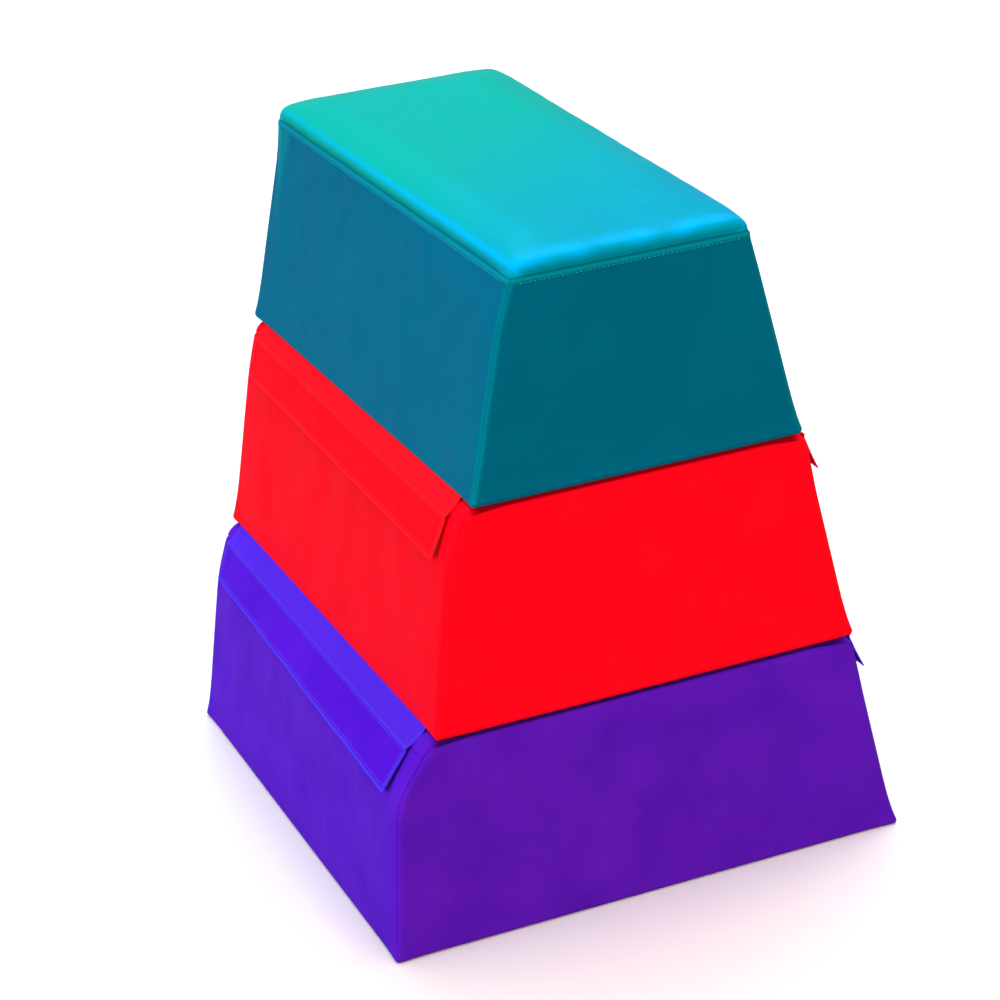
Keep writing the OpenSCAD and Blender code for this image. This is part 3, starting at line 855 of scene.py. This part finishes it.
def makeFlap(upper, side):
    s, sign = sections[sectionBelow[upper]], sideSign[side]
    w = wall(s)
    low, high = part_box(f"{upper}_{side}_flap")
    joint = next(j for j in frame["joints"] if j["name"] == f"{upper}_{side}_flap_swing")
    rootX, _, rootZ = joint["pos_m"]
    hemDown = (w["top"] + 3.5 * mm * w["sin"] - low.z) / w["cos"]
    # the bend lies above the hook tape
    bendDown = hemDown - flapShape["bandWidth"] * mm
    rootDown = (w["top"] - rootZ) * w["cos"] + (abs(rootX) - w["half"]) * w["sin"]
    rootOut = (w["top"] - rootZ) * -w["sin"] + (abs(rootX) - w["half"]) * w["cos"]
    length = high.y
    hem = flapShape["hem"] * mm
    step = np.array([-5, -3, -1.5, 0, 1.5, 3, 5]) * mm
    # closer together at the fold, at the hem's stitches and at the edges
    downs = np.concatenate([np.linspace(-6, 0, 4)[:-1] * mm, np.linspace(0, bendDown - 7 * mm, 6),
                            bendDown + step, np.linspace(bendDown + 9 * mm, hemDown - hem - 5 * mm, 6),
                            hemDown - hem + step[1:-1] * 0.6, hemDown - np.array([4, 2, 1, 0.3, 0]) * mm])
    ends = np.array([0, 0.3, 1, 2, 4, 6.2, 7.1, 8, 8.9, 9.8, 13, 18, 25]) * mm
    alongs = np.concatenate([-length + ends, np.linspace(-length + 0.035, length - 0.035, 50),
                             length - ends[::-1]])

    def surface(down, along, proud=0.0):
        t = np.clip((down - rootDown) / (bendDown - rootDown), 0, 1)
        near = 0.5 - along / (2 * length)
        far, close = flapShape["stands"][side]
        out = rootOut + ((far + (close - far) * near) * mm - rootOut) * t
        fromFold = np.abs(down - bendDown) / mm
        out += flapShape["foldRise"] * mm * np.exp(-(fromFold / flapShape["foldWidth"]) ** 2)
        out -= flapShape["dip"] * mm * np.exp(-((fromFold - flapShape["dipAt"]) / flapShape["dipWidth"]) ** 2)
        below = np.clip((down - bendDown) / (hemDown - bendDown), 0, 1)
        far, close = flapShape["flares"][side]
        out += (far + (close - far) * near) * mm * below ** 1.5
        ripple = waves(np.stack([along, down, np.zeros_like(down)], 1), flapShape["ripples"],
                       flapShape["seed"] + sign + s["low"])
        out += flapShape["waviness"] * mm * (0.5 + 0.5 * ripple) * below + proud
        points = hung(s, sign, down, out, along)
        back = np.clip(-down / (6 * mm), 0, 1)  # the hidden edge goes up into the seam
        points[:, 0] += sign * (flapShape["root"][0] * mm) * back
        points[:, 2] += flapShape["root"][1] * mm * back
        return points

    def place(u, v):
        toHem = np.minimum(hemDown - v, length - np.abs(u))
        folded = flapShape["hemRise"] * mm * (1 - ease((toHem - hem + 1 * mm) / (2 * mm)))
        toStitches = toHem - hem * flapShape["stitchAt"]
        folded -= flapShape["stitchDip"] * mm * np.exp(-(toStitches / (1 * mm)) ** 2)
        return surface(v, u) + facing(s, sign, len(u)) * folded[:, None], facing(s, sign, len(u))

    below = s["name"]

    # painted highlights along the hem, the ends and the fold, and on the upper band
    def rim(u, v):
        return np.maximum.reduce([band(hemDown - v, flapPaintedHighlights["hem"]),
                                  band(length - np.abs(u), flapPaintedHighlights["end"]),
                                  band(v - bendDown, flapPaintedHighlights["fold"]),
                                  flapPaintedHighlights["above"] * ease((bendDown - v) / (2 * mm))])

    bm = makeGrid(alongs, downs, place, rim=rim)
    flap = finishPiece(f"{upper}_{side}_flap_cloth", bm, f"{below}Flap", None, [f"{upper}_{side}_flap"],
                       flapShape["thick"] * mm, 1)
    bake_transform(flap)

    # rows of stitches beside the fold and inside the hem, on three sides
    bm = bmesh.new()
    inside, proud = hem * flapShape["stitchAt"], flapShape["stitchProud"] * mm
    fine = np.linspace(-length + inside, length - inside, 260)
    for down in (bendDown + flapShape["foldStitches"] * mm, hemDown - inside):
        stitchRun(bm, surface(np.full_like(fine, down), fine, proud), facing(s, sign, len(fine)))
    fine = np.linspace(2 * mm, hemDown - hem, 60)
    for at in (-length + inside, length - inside):
        stitchRun(bm, surface(fine, np.full_like(fine, at), proud), facing(s, sign, len(fine)))
    rows = finishPiece(f"{upper}_{side}_flap_stitches", bm, threadOf[below], None)
    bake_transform(rows)

    # the hooks inside the flap and the loops on the wall face each other
    middle = (bendDown + hemDown - 2 * mm) / 2
    wide = tapeShape["width"] / 2 * mm
    strip = middle + wide * np.array([-1, -0.97, -0.9, -0.6, -0.3, 0, 0.3, 0.6, 0.9, 0.97, 1])
    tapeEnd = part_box(f"{upper}_{side}_hook_tape")[1].y
    reach = np.linspace(-tapeEnd, tapeEnd, 70)

    def hooks(u, v):
        return surface(v, u, -flapShape["thick"] * mm - tapeShape["gap"] * mm), facing(s, sign, len(u))

    bm = makeGrid(reach, strip, hooks)
    tape = finishPiece(f"{upper}_{side}_hooks", bm, "hook", f"{upper}_{side}_joining_flap",
                       [f"{upper}_{side}_hook_tape"], tapeShape["thick"] * mm)

    def loops(u, v):
        out = np.full_like(u, tapeShape["thick"] * mm + tapeShape["gap"] * mm)
        return hung(s, sign, v, out, u), facing(s, sign, len(u))

    bm = makeGrid(reach, strip, loops)
    tape = finishPiece(f"{below}_{side}_loops", bm, "loop", f"{below}_section",
                       [f"{below}_{side}_loop_tape"], tapeShape["thick"] * mm)


for upper in sectionBelow:
    for side in sideSign:
        makeFlap(upper, side)

print("top seam stitches")


def seamStitches(s):
    # a row round the top, just below the seam
    half, length = s["half"], s["length"]
    fromCorner = 0.02
    fine = np.linspace(-length + fromCorner, length - fromCorner, 300)
    level = np.full_like(fine, s["height"] - s["seam"] - stitchShape["belowSeam"] * mm)
    bm = bmesh.new()

    def run(sharp):
        points, out = form(s, sharp)
        stitchRun(bm, settled(s, points, out) + out * stitchShape["proud"] * mm, out)

    for side in (-1, 1):
        run(np.stack([np.full_like(fine, side * half), fine, level], 1))
        across = fine / length * half
        inset = np.abs(across) < half - fromCorner
        run(np.stack([across, np.full_like(fine, side * length), level], 1)[inset])
    finishPiece(f"{s['name']}_seam_stitches", bm, threadOf[s["name"]], f"{s['name']}_section")


seamStitches(sections["top"])

print("zips")
# Half of the slit between the teeth, where each tape starts, and how high above the middle of its
# tape or pull the cloth's outer face lies
zipShape = dict(tapeThick=0.8, tapeFrom=1.2, toothFrom=0.6, toothPitch=1.6, toothWide=1.1, face=0.4)
pullShape = dict(thick=0.9, narrow=0.25, end=2, bow=0.15, bowLength=6)


def upward(count):
    return np.tile(np.array([[0, 0, 1.0]]), (count, 1))


def makeZip(name):
    low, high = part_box(f"{name}_zip_tapes")
    level = (low.z + high.z) / 2
    runs = np.linspace(low.y, high.y, 90)
    tapeFrom, toothFrom = zipShape["tapeFrom"] * mm, zipShape["toothFrom"] * mm
    for side, sign in sideSign.items():
        across = sign * np.linspace(tapeFrom, high.x, 8)

        def weave(u, v):
            return np.stack([u, v, level + zipShape["face"] * mm + 0 * u], 1), upward(len(u))

        bm = makeGrid(across, runs, weave)
        tape = finishPiece(f"{name}_{side}_zip_tape", bm, "zipWoven", f"{name}_section",
                           [f"{name}_zip_tapes"], zipShape["tapeThick"] * mm)
    low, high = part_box(f"{name}_zip_coils")
    bm = bmesh.new()
    pitch = zipShape["toothPitch"] * mm
    wide = (high.x - toothFrom) / 2
    size = Matrix.Diagonal((2 * wide, zipShape["toothWide"] * mm, high.z - low.z, 1))
    for sign in sideSign.values():
        for y in np.arange(low.y + pitch, high.y - pitch, pitch):
            copy = oneStitch.copy()
            shifted = y + (pitch / 2 if sign > 0 else 0)
            where = Vector((sign * (toothFrom + wide), shifted, (low.z + high.z) / 2))
            copy.transform(Matrix.Translation(where) @ size)
            bm.from_mesh(copy)
            bpy.data.meshes.remove(copy)
    finishPiece(f"{name}_zip_teeth", bm, "teeth", f"{name}_section", [f"{name}_zip_coils"])


def makePull(name):
    # a webbing tab 6 mm wide, laid flat behind its slider
    low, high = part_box(f"{name}_zip_pull")
    middle, wide, end = (low.z + high.z) / 2, high.x, pullShape["end"] * mm

    def place(u, v):
        fromMiddle = np.abs(v - (low.y + high.y) / 2)
        narrow = 1 - pullShape["narrow"] * ease((fromMiddle - (high.y - low.y) / 2 + end) / end)
        bow = pullShape["bow"] * mm * np.cos(v / (pullShape["bowLength"] * mm))
        return np.stack([u * narrow, v, middle + zipShape["face"] * mm + bow], 1), upward(len(u))

    bm = makeGrid(np.linspace(-wide, wide, 9), np.linspace(low.y, high.y, 24), place)
    finishPiece(f"{name}_zip_webbing_pull", bm, "webbing", f"{name}_zip_runner", [f"{name}_zip_pull"],
                min(pullShape["thick"] * mm, high.z - low.z), 1)


for name in sections:
    makeZip(name)
    makePull(name)

for name, node in frame["nodes"].items():
    if name.endswith(("_zip_stops", "_zip_slider")):
        node.data.materials.clear()
        node.data.materials.append(materials["metal"])

print("studio")
studio = dict(floor="#FFFFFF", floorBounce="#8C8C8C", floorSize=12, world=0.3, aimHeight=0.6)
# A softbox high behind, a soft light overhead and weak fills from the left and the front:
# where each comes from, how strong it is, its colour, and its size in metres or degrees
lamps = {
    "softbox": dict(place=(0.9, 3.3, 3.5), power=80, colour=(0.02, 0.5, 1), size=1.0),
    "overhead": dict(place=(0.2, 0.3, 1), power=2.2, colour=(1, 1, 1), angle=70),
    "left fill": dict(place=(-1, -0.15, 0.35), power=1.95, colour=(1, 0.96, 1), angle=50),
    "front fill": dict(place=(0.1, -1, 0.3), power=2.1, colour=(1, 0.58, 0.36), angle=50),
}


def addLamp(name, place, power, colour, size=None, angle=None):
    data = bpy.data.lights.new(name, "AREA" if size else "SUN")
    data.energy, data.color = power, colour
    if size:
        data.shape, data.size = "SQUARE", size
    else:
        data.angle = math.radians(angle)
    obj = bpy.data.objects.new(name, data)
    bpy.context.scene.collection.objects.link(obj)
    obj.location = place
    aim = Vector((0, 0, studio["aimHeight"] if size else 0)) - Vector(place)
    obj.rotation_euler = aim.to_track_quat("-Z", "Y").to_euler()


for name, lamp in lamps.items():
    addLamp(name, **lamp)

bm = bmesh.new()
bmesh.ops.create_grid(bm, x_segments=1, y_segments=1, size=studio["floorSize"])
floorMesh = bpy.data.meshes.new("floor")
bm.to_mesh(floorMesh)
bm.free()
floor = bpy.data.objects.new("floor", floorMesh)
bpy.context.scene.collection.objects.link(floor)
floorMaterial = bpy.data.materials.new("white paper floor")
floorMaterial.use_nodes = True
paper = floorMaterial.node_tree
seen = addNode(paper, "LightPath").outputs["Is Camera Ray"]
shade = addNode(paper, "Mix", {"Factor": seen, "A": linear(studio["floorBounce"]),
                               "B": linear(studio["floor"])}, data_type="RGBA")
paper.links.new(shade.outputs["Result"], paper.nodes["Principled BSDF"].inputs["Base Color"])
paper.nodes["Principled BSDF"].inputs["Roughness"].default_value = 0.9
paper.nodes["Principled BSDF"].inputs["Specular IOR Level"].default_value = 0
floorMesh.materials.append(floorMaterial)

world = bpy.data.worlds.new("studio")
world.use_nodes = True
bpy.context.scene.world = world
tree = world.node_tree
ray = addNode(tree, "LightPath").outputs["Is Camera Ray"]
level = addNode(tree, "MapRange", {"Value": ray, "To Min": studio["world"], "To Max": 1})
background = tree.nodes["Background"]
background.inputs["Color"].default_value = (1, 1, 1, 1)
tree.links.new(level.outputs["Result"], background.inputs["Strength"])
bpy.context.scene.view_settings.view_transform = "Standard"
